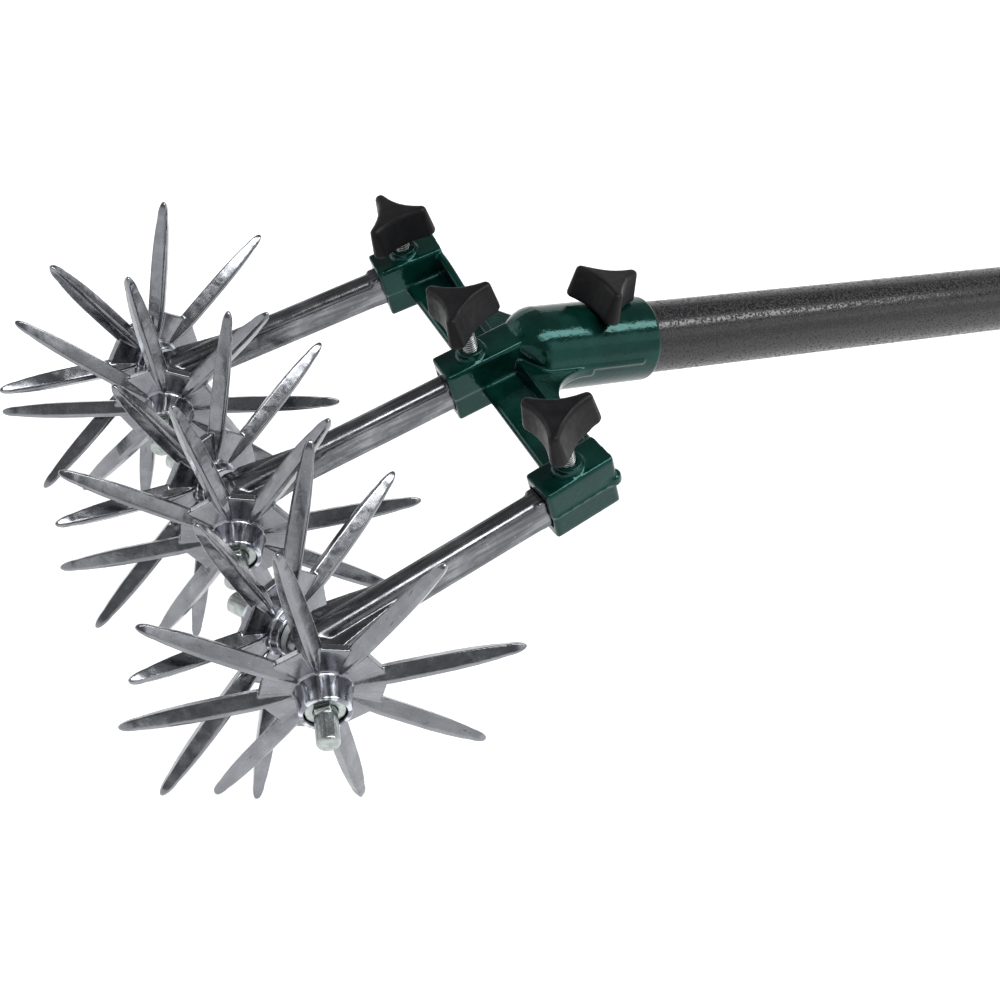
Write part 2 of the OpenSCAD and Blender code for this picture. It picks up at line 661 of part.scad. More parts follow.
head_casting();
shank(1);  // shank_near
shank(0);  // shank_middle
shank(-1);  // shank_far
axle(1);  // axle_near
axle(0);  // axle_middle
axle(-1);  // axle_far
placed_wheel(0);  // star_wheel_1
placed_wheel(1);  // star_wheel_2
placed_wheel(2);  // star_wheel_3
placed_wheel(3);  // star_wheel_4
placed_wheel(4);  // star_wheel_5
placed_wheel(5);  // star_wheel_6
spacer(0);  // spacer_1
spacer(1);  // spacer_2
spacer(2);  // spacer_3
spacer(3);  // spacer_4
spacer(4);  // spacer_5
spacer(5);  // spacer_6
washer(0);  // washer_1
washer(1);  // washer_2
washer(2);  // washer_3
washer(3);  // washer_4
washer(4);  // washer_5
washer(5);  // washer_6
socket_stud(0);  // stud_near
socket_stud(1);  // stud_middle
socket_stud(2);  // stud_far
collar_stud_frame(tube_r + face_gap) stud(collar_r + collar_knob_gap - tube_r - face_gap + stud_grip);  // stud_collar
socket_knob(0);  // knob_near
socket_knob(1);  // knob_middle
socket_knob(2);  // knob_far
collar_stud_frame(collar_r + collar_knob_gap) knob(knob_turn[3]);  // knob_collar
handle_tube();
handle_grip();
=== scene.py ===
import json
import logging
import math
from collections.abc import Callable
from dataclasses import dataclass
from enum import Enum

import bmesh
import bpy
from mathutils import Matrix, Vector


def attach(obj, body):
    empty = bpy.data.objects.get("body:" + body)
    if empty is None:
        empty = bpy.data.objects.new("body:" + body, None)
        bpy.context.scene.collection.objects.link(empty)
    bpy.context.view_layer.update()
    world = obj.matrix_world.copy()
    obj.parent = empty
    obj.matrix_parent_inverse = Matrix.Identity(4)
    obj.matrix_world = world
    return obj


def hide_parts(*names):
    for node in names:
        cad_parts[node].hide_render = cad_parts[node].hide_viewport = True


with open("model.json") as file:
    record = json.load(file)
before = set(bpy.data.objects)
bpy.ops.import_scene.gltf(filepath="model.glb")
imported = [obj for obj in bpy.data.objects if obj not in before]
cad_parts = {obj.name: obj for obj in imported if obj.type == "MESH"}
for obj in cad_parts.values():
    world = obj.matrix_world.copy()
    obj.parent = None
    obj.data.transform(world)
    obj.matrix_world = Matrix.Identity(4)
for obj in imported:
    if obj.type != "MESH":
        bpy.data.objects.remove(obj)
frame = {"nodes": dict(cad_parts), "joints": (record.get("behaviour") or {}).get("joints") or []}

logging.basicConfig(level=logging.INFO, format="%(message)s")
log = logging.getLogger("cultivator")

MM = 0.001
SPOT = "own_place"
UP = Vector((0, 0, 1))
SIDEWAYS = Vector((1, 0, 0))
# Sockets of the mix node where it mixes colours
MIX_SHARE, MIX_FIRST, MIX_SECOND, MIX_RESULT = 0, 6, 7, 2
Triple = tuple[float, float, float]
Colour = Triple
Socket = bpy.types.NodeSocket
Value = float | Socket
Additions = Callable[[bmesh.types.BMesh], None]


class Place(Enum):
    """The four clamps, by what they hold."""

    NEAR = "near"
    MIDDLE = "middle"
    FAR = "far"
    COLLAR = "collar"


# The two wheels on each shank's axle
WHEELS = {Place.NEAR: (1, 2), Place.MIDDLE: (3, 4), Place.FAR: (5, 6)}


class Shader:
    """Builds the nodes of one material."""

    def __init__(self, name: str) -> None:
        """Start an empty material.

        Args:
            name: name of the material.
        """
        self.material = bpy.data.materials.new(name)
        self.material.use_nodes = True
        self.tree = self.material.node_tree
        self.tree.nodes.clear()
        self.spot = self.node("ShaderNodeAttribute", attribute_name=SPOT).outputs["Vector"]

    def node(self, kind: str, **settings: object) -> bpy.types.Node:
        """Add a node.

        Args:
            kind: Blender's name of the node type.
            settings: properties of the node.

        Returns:
            The new node.
        """
        made = self.tree.nodes.new(kind)
        for key, value in settings.items():
            setattr(made, key, value)
        return made

    def feed(self, socket: Socket, value: object) -> None:
        """Link a socket or set its value.

        Args:
            socket: input of a node.
            value: output of another node, a number or a colour.
        """
        if isinstance(value, bpy.types.NodeSocket):
            self.tree.links.new(value, socket)
        elif isinstance(value, tuple) and len(value) == 3 and len(socket.default_value) == 4:
            socket.default_value = (*value, 1.0)
        else:
            socket.default_value = value

    def stretched(self, stretch: Triple) -> Socket:
        """Scale the piece's own coordinates.

        Args:
            stretch: factor for each axis.

        Returns:
            The coordinates.
        """
        made = self.node("ShaderNodeMapping")
        self.feed(made.inputs["Vector"], self.spot)
        made.inputs["Scale"].default_value = stretch
        return made.outputs["Vector"]

    def vector(self, operation: str, first: Socket,
               second: Triple = (1.0, 1.0, 1.0)) -> bpy.types.Node:
        """Combine two vectors, or measure one.

        Args:
            operation: Blender's name of the operation.
            first: the vector.
            second: the other vector, where the operation has one.

        Returns:
            The node, whose output is Vector or Value.
        """
        made = self.node("ShaderNodeVectorMath", operation=operation)
        self.feed(made.inputs[0], first)
        made.inputs[1].default_value = second
        return made

    def split(self, vector: Socket) -> bpy.types.NodeOutputs:
        """Take a vector apart.

        Args:
            vector: the vector.

        Returns:
            Its parts, under X, Y and Z.
        """
        parts = self.node("ShaderNodeSeparateXYZ")
        self.feed(parts.inputs[0], vector)
        return parts.outputs

    def flat(self) -> Socket:
        """The piece's own coordinates without their height."""
        return self.vector("MULTIPLY", self.spot, (1.0, 1.0, 0.0)).outputs["Vector"]

    def radius(self) -> Socket:
        """Distance from the piece's own Z axis."""
        return self.vector("LENGTH", self.flat()).outputs["Value"]

    def around(self, radius: float, along: float) -> Socket:
        """Lay the grain along the rays from the piece's Z axis, and along that axis.

        Args:
            radius: where the coordinates keep their size.
            along: scale along the rays and the axis.

        Returns:
            The coordinates.
        """
        ray = self.vector("NORMALIZE", self.flat()).outputs["Vector"]
        ring = self.split(self.vector("MULTIPLY", ray, (radius, radius, 0.0)).outputs["Vector"])
        height = self.split(self.spot)["Z"]
        run = self.calc("MULTIPLY", self.calc("ADD", self.radius(), height), along)
        made = self.node("ShaderNodeCombineXYZ")
        for key, value in (("X", ring["X"]), ("Y", ring["Y"]), ("Z", run)):
            self.feed(made.inputs[key], value)
        return made.outputs["Vector"]

    def noise(self, size: float, detail: float = 3.0, rough: float = 0.5, swirl: float = 0.0,
              at: Socket | None = None) -> Socket:
        """Noise of a given size of feature.

        Args:
            size: size of a feature in metres.
            detail: number of finer layers.
            rough: strength of the finer layers.
            swirl: distortion.
            at: coordinates, if not the piece's own.

        Returns:
            Socket with values about 0.5.
        """
        made = self.node("ShaderNodeTexNoise")
        self.feed(made.inputs["Vector"], at or self.spot)
        made.inputs["Scale"].default_value = 1 / size
        made.inputs["Detail"].default_value = detail
        made.inputs["Roughness"].default_value = rough
        made.inputs["Distortion"].default_value = swirl
        return made.outputs["Fac"]

    def cells(self, size: float) -> Socket:
        """Random cells.

        Args:
            size: size of a cell in metres.

        Returns:
            Distance to the centre of the nearest cell.
        """
        made = self.node("ShaderNodeTexVoronoi")
        self.feed(made.inputs["Vector"], self.spot)
        made.inputs["Scale"].default_value = 1 / size
        return made.outputs["Distance"]

    def grade(self, value: Socket, low: float, high: float,
              start: float = 0.0, end: float = 1.0) -> Socket:
        """Map a range of values smoothly to another.

        Args:
            value: what is mapped.
            low: value that gives start.
            high: value that gives end.
            start: result at low and below.
            end: result at high and above.

        Returns:
            The mapped value.
        """
        made = self.node("ShaderNodeMapRange", interpolation_type="SMOOTHSTEP")
        self.feed(made.inputs["Value"], value)
        levels = {"From Min": low, "From Max": high, "To Min": start, "To Max": end}
        for key, number in levels.items():
            made.inputs[key].default_value = number
        return made.outputs["Result"]

    def blend(self, share: Value, first: Colour | Socket, second: Colour | Socket) -> Socket:
        """Mix two colours.

        Args:
            share: share of the second colour.
            first: first colour.
            second: second colour.

        Returns:
            The mixed colour.
        """
        made = self.node("ShaderNodeMix", data_type="RGBA")
        self.feed(made.inputs[MIX_SHARE], share)
        self.feed(made.inputs[MIX_FIRST], first)
        self.feed(made.inputs[MIX_SECOND], second)
        return made.outputs[MIX_RESULT]

    def mark(self, colour: Socket | Colour, marks: Socket, share: float, paint: Colour) -> Socket:
        """The colour with marks of another, laid on at a share of their strength."""
        return self.blend(self.calc("MULTIPLY", marks, share), colour, paint)

    def calc(self, operation: str, first: Value, second: Value) -> Socket:
        """Combine two numbers.

        Args:
            operation: Blender's name of the operation.
            first: first number.
            second: second number.

        Returns:
            The result.
        """
        made = self.node("ShaderNodeMath", operation=operation)
        self.feed(made.inputs[0], first)
        self.feed(made.inputs[1], second)
        return made.outputs[0]

    def hollows(self, reach: float, inside: bool = False) -> Socket:
        """How open the surface is.

        Args:
            reach: distance that is looked over, in metres.
            inside: look into the piece, which finds its edges.

        Returns:
            1 on open faces, less in corners or, with inside, near edges.
        """
        made = self.node("ShaderNodeAmbientOcclusion", samples=8, inside=inside)
        made.inputs["Distance"].default_value = reach
        return made.outputs["AO"]

    def bump(self, height: Socket, depth: float, strength: float = 1.0,
             under: Socket | None = None) -> Socket:
        """Raise the surface.

        Args:
            height: height from 0 to 1.
            depth: height in metres that 1 stands for.
            strength: share of the effect.
            under: normal from a coarser bump.

        Returns:
            The new normal.
        """
        made = self.node("ShaderNodeBump")
        made.inputs["Strength"].default_value = strength
        made.inputs["Distance"].default_value = depth
        self.feed(made.inputs["Height"], height)
        if under is not None:
            self.feed(made.inputs["Normal"], under)
        return made.outputs["Normal"]

    def finish(self, colour: Colour | Socket, rough: Value, normal: Socket,
               **plain: float | tuple[float, ...]) -> bpy.types.Material:
        """Close the material with one principled surface.

        Args:
            colour: base colour.
            rough: roughness.
            normal: bumped normal.
            plain: other inputs by name, with underscores for blanks, each a constant.

        Returns:
            The material.
        """
        surface = self.node("ShaderNodeBsdfPrincipled")
        self.feed(surface.inputs["Base Color"], colour)
        self.feed(surface.inputs["Roughness"], rough)
        self.feed(surface.inputs["Normal"], normal)
        for key, number in plain.items():
            surface.inputs[key.replace("_", " ")].default_value = number
        out = self.node("ShaderNodeOutputMaterial")
        self.feed(out.inputs["Surface"], surface.outputs["BSDF"])
        return self.material


@dataclass(frozen=True)
class Finish:
    """A finish that is made once and then shared.

    Attributes:
        name: name of the material.
        slot: name of the CAD material that it stands for; not used.
    """

    name: str
    slot: str

    def make(self) -> bpy.types.Material:
        """Build the material; each finish has its own."""
        raise NotImplementedError

    def material(self) -> bpy.types.Material:
        """The material, built at its first use."""
        return bpy.data.materials.get(self.name) or self.make()


@dataclass(frozen=True)
class BrightCasting(Finish):
    """Tumbled die casting: grey, softly clouded, with a drawn-out grain and painted shade in its
    corners.

    Attributes:
        light: colour of the clean metal.
        dark: colour of the clouds and streaks.
        pore_and_corner_shade: colour of the pores, and of the painted shade in corners.
        pale: colour of the flecks.
        streaks: strength of the streaks.
        drawn: scale of the grain along the bar.
        cloud: size of a cloud.
        streak: width of a streak.
        fleck: size of a fleck.
        pore: width of a pore, and of the fine grain.
        corner: width of the painted shade in a corner.
        wave: height of the casting's waves.
        wave_size: length of a wave.
        patch: size of a duller or brighter patch.
        grit: height of the fine grain.
    """

    light: Colour = (0.275, 0.285, 0.305)
    dark: Colour = (0.17, 0.175, 0.19)
    pore_and_corner_shade: Colour = (0.025, 0.025, 0.03)
    pale: Colour = (0.62, 0.65, 0.69)
    streaks: float = 0.3
    drawn: float = 0.1
    cloud: float = 13 * MM
    streak: float = 1.8 * MM
    fleck: float = 0.9 * MM
    pore: float = 0.7 * MM
    corner: float = 3.5 * MM
    wave: float = 0.11 * MM
    wave_size: float = 5.5 * MM
    patch: float = 4 * MM
    grit: float = 0.012 * MM

    def grain(self, s: Shader) -> Socket:
        """Coordinates of the grain, drawn out along the bar."""
        return s.stretched((1.0, self.drawn, 1.0))

    def painted_reflection_bands(self, s: Shader, colour: Socket) -> Socket:
        """The colour with painted reflection bands; a bar has none."""
        return colour

    def make(self) -> bpy.types.Material:
        """Build the material.

        Returns:
            The material.
        """
        s = Shader(self.name)
        grain = self.grain(s)
        clouds = s.grade(s.noise(self.cloud, detail=3, rough=0.5, swirl=0.4), 0.34, 0.68)
        colour = s.mark(self.light, clouds, 0.6, self.dark)
        streaks = s.grade(s.noise(self.streak, detail=4, rough=0.6, at=grain), 0.38, 0.62)
        colour = s.mark(colour, streaks, self.streaks, self.dark)
        flecks = s.grade(s.noise(self.fleck, detail=4, rough=0.7), 0.58, 0.74)
        colour = s.mark(colour, flecks, 0.3, self.pale)
        pores = s.grade(s.noise(self.pore, detail=3, rough=0.7, at=grain), 0.62, 0.74)
        colour = s.mark(colour, pores, 0.55, self.pore_and_corner_shade)
        # Painted reflection: a wheel's hub boss gets bright and dark stripes here; a bar gets
        # none.
        colour = self.painted_reflection_bands(s, colour)
        # Painted shade: the colour darkens in corners and creases, by how occluded they are.
        corners = s.grade(s.hollows(self.corner), 0.25, 0.85, start=0.85, end=0.0)
        colour = s.blend(corners, colour, self.pore_and_corner_shade)
        patches = s.noise(self.patch, detail=4, rough=0.65, swirl=0.5)
        rough = s.grade(patches, 0.3, 0.7, start=0.14, end=0.28)
        waves = s.bump(s.noise(self.wave_size, detail=2, rough=0.45, swirl=0.3), self.wave)
        fine = s.noise(self.pore, detail=3, rough=0.7, at=grain)
        skin = s.bump(fine, self.grit, strength=0.6, under=waves)
        return s.finish(colour, rough, skin, Metallic=1.0)


@dataclass(frozen=True)
class StarCasting(BrightCasting):
    """The same casting on a wheel, with its grain along the rays and painted reflection bands
    down the hub's boss.

    Attributes:
        drawn: scale of the grain along the tines.
        reach: radius at which the grain keeps its width.
        hub: radius of the hub's boss.
        hub_edge: width over which the bands fade outside the boss.
        band: width of a band.
        band_drawn: scale of the bands along the boss.
        reflection_light: colour of the bright bands, a painted reflection.
        reflection_dark: colour of the dark bands, a painted reflection.
    """

    drawn: float = 0.12
    reach: float = 40 * MM
    hub: float = 9.6 * MM
    hub_edge: float = 0.8 * MM
    band: float = 2.6 * MM
    band_drawn: float = 0.04
    reflection_light: Colour = (0.72, 0.75, 0.81)
    reflection_dark: Colour = (0.20, 0.205, 0.235)

    def grain(self, s: Shader) -> Socket:
        """Coordinates of the grain, drawn out along the tines."""
        return s.around(self.reach, self.drawn)

    def painted_reflection_bands(self, s: Shader, colour: Socket) -> Socket:
        """Lay painted reflection bands down the boss of the hub: bright and dark stripes standing
        for a polished boss's reflections.

        Args:
            s: shader of the finish.
            colour: colour of the casting.

        Returns:
            The colour with the painted reflection bands.
        """
        down = s.around(self.hub, self.band_drawn)
        bands = s.grade(s.noise(self.band, detail=1, rough=0.4, at=down), 0.42, 0.58)
        near = s.grade(s.radius(), self.hub, self.hub + self.hub_edge, start=0.85, end=0.0)
        # Painted reflection: bright and dark stripes down the boss stand for its reflections.
        return s.blend(near, colour, s.blend(bands, self.reflection_light, self.reflection_dark))


@dataclass(frozen=True)
class Enamel(Finish):
    """Dark green gloss enamel on a rough casting.

    Attributes:
        deep: colour where the coat is thick.
        lit: colour where it is thin.
        edge_highlight: colour along sharp edges, a painted highlight that also stands for thinner
            paint there.
        sheen: tint of the reflection.
        cloud: size of a thick or thin patch.
        edge: width of the painted edge highlight.
        patch: size of a duller or brighter patch.
        peel: size of the orange peel.
        peel_height: height of the orange peel.
        grit: size of the fine grain.
        grit_height: height of the fine grain.
    """

    deep: Colour = (0.001, 0.013, 0.009)
    lit: Colour = (0.002, 0.029, 0.022)
    edge_highlight: Colour = (0.03, 0.16, 0.135)
    sheen: tuple[float, float, float, float] = (0.42, 1.0, 0.94, 1.0)
    cloud: float = 14 * MM
    edge: float = 1.0 * MM
    patch: float = 6 * MM
    peel: float = 2.2 * MM
    peel_height: float = 0.12 * MM
    grit: float = 0.9 * MM
    grit_height: float = 0.05 * MM

    def make(self) -> bpy.types.Material:
        """Build the material.

        Returns:
            The material.
        """
        s = Shader(self.name)
        clouds = s.grade(s.noise(self.cloud, detail=4, rough=0.55), 0.35, 0.65)
        # Painted highlight: lighter green along sharp edges, where the paint is also thinner.
        edges = s.grade(s.hollows(self.edge, inside=True), 0.35, 0.75, start=0.5, end=0.0)
        colour = s.blend(edges, s.blend(clouds, self.deep, self.lit), self.edge_highlight)
        patches = s.noise(self.patch, detail=4, rough=0.6)
        rough = s.grade(patches, 0.3, 0.7, start=0.09, end=0.16)
        peel = s.noise(self.peel, detail=2, rough=0.5, swirl=0.3)
        coat = s.bump(peel, self.peel_height, strength=0.8)
        fine = s.noise(self.grit, detail=2, rough=0.6)
        skin = s.bump(fine, self.grit_height, strength=0.8, under=coat)
        return s.finish(colour, rough, skin, Specular_IOR_Level=0.42, Specular_Tint=self.sheen)


@dataclass(frozen=True)
class ZincPlate(Finish):
    """Bright zinc plating, a little cloudy and greenish.

    Attributes:
        light: colour of the clean plating.
        dull: colour of the clouds.
        cloud: size of a cloud.
        patch: size of a duller or brighter patch.
        grit: size of the fine grain.
        grit_height: height of the fine grain.
    """

    light: Colour = (0.46, 0.50, 0.48)
    dull: Colour = (0.32, 0.355, 0.35)
    cloud: float = 3 * MM
    patch: float = 1.2 * MM
    grit: float = 0.6 * MM
    grit_height: float = 0.012 * MM

    def make(self) -> bpy.types.Material:
        """Build the material.

        Returns:
            The material.
        """
        s = Shader(self.name)
        clouds = s.grade(s.noise(self.cloud, detail=4, rough=0.6), 0.35, 0.65)
        colour = self.roots(s, s.blend(clouds, self.light, self.dull))
        patches = s.noise(self.patch, detail=4, rough=0.6)
        rough = s.grade(patches, 0.3, 0.7, start=0.24, end=0.36)
        fine = s.noise(self.grit, detail=3, rough=0.6)
        skin = s.bump(fine, self.grit_height, strength=0.6)
        return s.finish(colour, rough, skin, Metallic=1.0)

    def roots(self, s: Shader, colour: Socket) -> Socket:
        """The colour, darker in the roots of a thread; a plain piece has no thread."""
        return colour


@dataclass(frozen=True)
class ThreadPlate(ZincPlate):
    """The same plating on a thread, with dark roots.

    Attributes:
        root: radius of the thread's roots.
        flank: radius on its flanks where the darkening ends.
        root_colour: colour of the darker roots.
    """

    root: float = 2.6 * MM
    flank: float = 2.92 * MM
    root_colour: Colour = (0.03, 0.03, 0.032)

    def roots(self, s: Shader, colour: Socket) -> Socket:
        """The colour, darker in the roots of the thread."""
        # Darker towards the roots of the thread, by distance from the axis.
        deep = s.grade(s.radius(), self.root, self.flank, start=0.95, end=0.0)
        return s.blend(deep, colour, self.root_colour)


@dataclass(frozen=True)
class Nylon(Finish):
    """Natural nylon, with some grease and dust.

    Attributes:
        clean: colour of the nylon.
        dusty: colour of the dust.
        dust: size of a patch of dust.
        patch: size of a duller or brighter patch.
        grit: size of the fine grain.
        grit_height: height of the fine grain.
    """

    clean: Colour = (0.62, 0.63, 0.62)
    dusty: Colour = (0.42, 0.43, 0.42)
    dust: float = 2.5 * MM
    patch: float = 2 * MM
    grit: float = 0.6 * MM
    grit_height: float = 0.03 * MM

    def make(self) -> bpy.types.Material:
        """Build the material.

        Returns:
            The material.
        """
        s = Shader(self.name)
        dust = s.grade(s.noise(self.dust, detail=4, rough=0.6), 0.4, 0.7)
        colour = s.blend(dust, self.clean, self.dusty)
        rough = s.grade(s.noise(self.patch), 0.3, 0.7, start=0.4, end=0.55)
        fine = s.noise(self.grit, detail=3, rough=0.6)
        skin = s.bump(fine, self.grit_height, strength=0.6)
        return s.finish(colour, rough, skin, Subsurface_Weight=0.15)


@dataclass(frozen=True)
class MouldedPlastic(Finish):
    """Black moulded plastic with a fine matt skin and a trace of dust.

    Attributes:
        clean: colour of the plastic.
        dusty: colour of the dust.
        edge_highlight: colour along sharp edges, a painted highlight.
        dust: size of a patch of dust.
        edge: width of the painted edge highlight.
        patch: size of a duller or brighter patch.
        grit: size of the fine grain.
        grit_height: height of the fine grain.
    """

    clean: Colour = (0.004, 0.004, 0.005)
    dusty: Colour = (0.010, 0.010, 0.012)
    edge_highlight: Colour = (0.05, 0.05, 0.058)
    dust: float = 5 * MM
    edge: float = 0.8 * MM
    patch: float = 3 * MM
    grit: float = 0.35 * MM
    grit_height: float = 0.04 * MM

    def make(self) -> bpy.types.Material:
        """Build the material.

        Returns:
            The material.
        """
        s = Shader(self.name)
        dust = s.grade(s.noise(self.dust, detail=5, rough=0.65), 0.42, 0.72)
        # Painted highlight: lighter grey along sharp edges.
        edges = s.grade(s.hollows(self.edge, inside=True), 0.35, 0.75, start=0.4, end=0.0)
        colour = s.blend(edges, s.blend(dust, self.clean, self.dusty), self.edge_highlight)
        patches = s.noise(self.patch, detail=4, rough=0.6)
        rough = s.grade(patches, 0.3, 0.7, start=0.38, end=0.52)
        fine = s.noise(self.grit, detail=3, rough=0.7)
        skin = s.bump(fine, self.grit_height, strength=0.7)
        return s.finish(colour, rough, skin, Specular_IOR_Level=0.22)


@dataclass(frozen=True)
class Hammertone(Finish):
    """Dark grey hammertone: shallow round dimples with dark rims and a metallic ground.

    Attributes:
        ground: colour of the paint.
        lit: colour of its lighter patches.
        speck: colour of the metallic specks.
        deep: colour of the dimples.
        cloud: size of a lighter patch.
        speck_size: size of a speck.
        pit: size of a dimple.
        pit_depth: depth of a dimple.
        grit: size of the fine grain.
        grit_height: height of the fine grain.
    """

    ground: Colour = (0.005, 0.0045, 0.0055)
    lit: Colour = (0.009, 0.008, 0.010)
    speck: Colour = (0.055, 0.05, 0.058)
    deep: Colour = (0.002, 0.002, 0.003)
    cloud: float = 9 * MM
    speck_size: float = 0.6 * MM
    pit: float = 1.1 * MM
    pit_depth: float = 0.09 * MM
    grit: float = 1.2 * MM
    grit_height: float = 0.05 * MM

    def make(self) -> bpy.types.Material:
        """Build the material.

        Returns:
            The material.
        """
        s = Shader(self.name)
        pits = s.grade(s.noise(self.pit, detail=3, rough=0.6, swirl=0.4), 0.50, 0.62)
        specks = s.grade(s.noise(self.speck_size, detail=3, rough=0.6), 0.56, 0.70)
        colour = s.blend(s.grade(s.noise(self.cloud), 0.35, 0.65), self.ground, self.lit)
        colour = s.mark(colour, specks, 0.7, self.speck)
        colour = s.mark(colour, pits, 0.95, self.deep)
        dimples = s.bump(s.calc("SUBTRACT", 1.0, pits), self.pit_depth, strength=0.9)
        fine = s.noise(self.grit, detail=2, rough=0.5)
        skin = s.bump(fine, self.grit_height, strength=0.9, under=dimples)
        rough = s.grade(pits, 0.0, 1.0, start=0.20, end=0.60)
        return s.finish(colour, rough, skin, Specular_IOR_Level=0.55)


@dataclass(frozen=True)
class GripRubber(Finish):
    """Satin black rubber.

    Attributes:
        clean: colour of the rubber.
        dull: colour of its bloom.
        bloom: size of a patch of bloom.
        grit: size of the fine grain.
        grit_height: height of the fine grain.
    """

    clean: Colour = (0.012, 0.012, 0.013)
    dull: Colour = (0.026, 0.026, 0.028)
    bloom: float = 9 * MM
    grit: float = 0.9 * MM
    grit_height: float = 0.05 * MM

    def make(self) -> bpy.types.Material:
        """Build the material.

        Returns:
            The material.
        """
        s = Shader(self.name)
        bloom = s.grade(s.noise(self.bloom, detail=5, rough=0.6), 0.4, 0.7)
        colour = s.blend(bloom, self.clean, self.dull)
        skin = s.bump(s.cells(self.grit), self.grit_height, strength=0.6)
        rough = s.grade(bloom, 0.0, 1.0, start=0.5, end=0.65)
        return s.finish(colour, rough, skin, Sheen_Weight=0.15)


@dataclass(frozen=True)
class Backdrop(Finish):
    """White paper: it takes the object's shadow, and camera, glossy and clear rays see it white.

    Attributes:
        light: how bright those rays see it, on top of the paper's own light.
        paper: colour of the paper.
    """

    light: float = 0.90
    paper: Colour = (0.5, 0.5, 0.5)

    def make(self) -> bpy.types.Material:
        """Build the material.

        Returns:
            The material.
        """
        s = Shader(self.name)
        sheet = s.node("ShaderNodeBsdfDiffuse")
        s.feed(sheet.inputs["Color"], self.paper)
        glow = s.node("ShaderNodeEmission")
        path = s.node("ShaderNodeLightPath")
        seen = s.calc("MAXIMUM", path.outputs["Is Camera Ray"], path.outputs["Is Glossy Ray"])
        seen = s.calc("MAXIMUM", seen, path.outputs["Is Transmission Ray"])
        s.feed(glow.inputs["Strength"], s.calc("MULTIPLY", seen, self.light))
        both = s.node("ShaderNodeAddShader")
        s.feed(both.inputs[0], sheet.outputs[0])
        s.feed(both.inputs[1], glow.outputs[0])
        out = s.node("ShaderNodeOutputMaterial")
        s.feed(out.inputs["Surface"], both.outputs[0])
        return s.material


CASTING = StarCasting("star_casting_finish", "bright_casting")
BAR_CASTING = BrightCasting(
    "bar_casting_finish", "bright_casting",
    light=(0.25, 0.255, 0.27), dark=(0.085, 0.088, 0.098), streaks=0.75)
ENAMEL = Enamel("green_enamel_finish", "green_paint")
ZINC = ZincPlate("zinc_plate_finish", "zinc_plate")
THREAD = ThreadPlate("zinc_thread_finish", "zinc_plate")
NYLON = Nylon("nylon_finish", "nylon")
PLASTIC = MouldedPlastic("black_plastic_finish", "black_plastic")
HAMMERTONE = Hammertone("hammertone_finish", "hammertone")
RUBBER = GripRubber("grip_rubber_finish", "black_rubber")
PAPER = Backdrop("white_paper", "")


def joint(name: str) -> tuple[Vector, Vector]:
    """Position and direction of a joint's axis at rest.

    Args:
        name: name of the joint.

    Returns:
        A point on the axis and its unit direction, in metres.
    """
    found = next(j for j in frame["joints"] if j["name"] == name)
    return Vector(found["pos_m"]), Vector(found["axis"]).normalized()


def spans(node: str, point: Vector, axis: Vector) -> tuple[float, float, float]:
    """Where a node lies along an axis.

    Args:
        node: name of the CAD node.
        point: point on the axis.
        axis: direction of the axis.

    Returns:
        Its two ends along the axis, and its largest radius about it.
    """
    rows = [v.co - point for v in frame["nodes"][node].data.vertices]
    along = [r.dot(axis) for r in rows]
    radius = max((r - axis * r.dot(axis)).length for r in rows)
    return min(along), max(along), radius


def settle(obj: bpy.types.Object, body: str, finish: Finish, *nodes: str) -> None:
    """Give a piece its finish and its body, and let it stand for its CAD nodes.

    Args:
        obj: the piece.
        body: CAD body that it moves with.
        finish: its finish.
        nodes: CAD nodes that it replaces.
    """
    obj.data.materials.clear()
    obj.data.materials.append(finish.material())
    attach(obj, body)
    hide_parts(*nodes)
    log.info("%s rides on %s, %d faces", obj.name, body, len(obj.data.polygons))


def axes(origin: Vector, up: Vector, across: Vector) -> Matrix:
    """A piece's own axes: Z is up, and X lies as near as it can to across.

    Args:
        origin: where the axes meet.
        up: direction of Z.
        across: wished direction of X.

    Returns:
        The 4 by 4 matrix from the piece's own axes to the frame.
    """
    z = up.normalized()
    x = (across - z * across.dot(z)).normalized()
    return Matrix.Translation(origin) @ Matrix((x, z.cross(x), z)).transposed().to_4x4()


def keep_axes(mesh: bpy.types.Mesh, own: Matrix) -> None:
    """Store every point's place in the piece's own axes, along which its finish is laid.

    Args:
        mesh: the piece's mesh, in the frame.
        own: the piece's own axes.
    """
    places = [0.0] * (3 * len(mesh.vertices))
    mesh.transform(own.inverted())
    mesh.vertices.foreach_get("co", places)
    mesh.transform(own)
    mesh.attributes.new(SPOT, "FLOAT_VECTOR", "POINT").data.foreach_set("vector", places)


def linked(name: str, data: bpy.types.ID) -> bpy.types.Object:
    """Put a mesh, lamp or camera into the scene.

    Args:
        name: name of the new object.
        data: what it shows.

    Returns:
        The object.
    """
    obj = bpy.data.objects.new(name, data)
    bpy.context.scene.collection.objects.link(obj)
    return obj


def smooth_piece(name: str, points: list[Vector],
                 faces: list[tuple[int, ...]]) -> bpy.types.Object:
    """Make a smoothly shaded piece.

    Args:
        name: name of the piece and its mesh.
        points: its corners.
        faces: corners of each face, by number.

    Returns:
        The piece.
    """
    mesh = bpy.data.meshes.new(name)
    mesh.from_pydata(points, [], faces)
    mesh.polygons.foreach_set("use_smooth", [True] * len(faces))
    return linked(name, mesh)


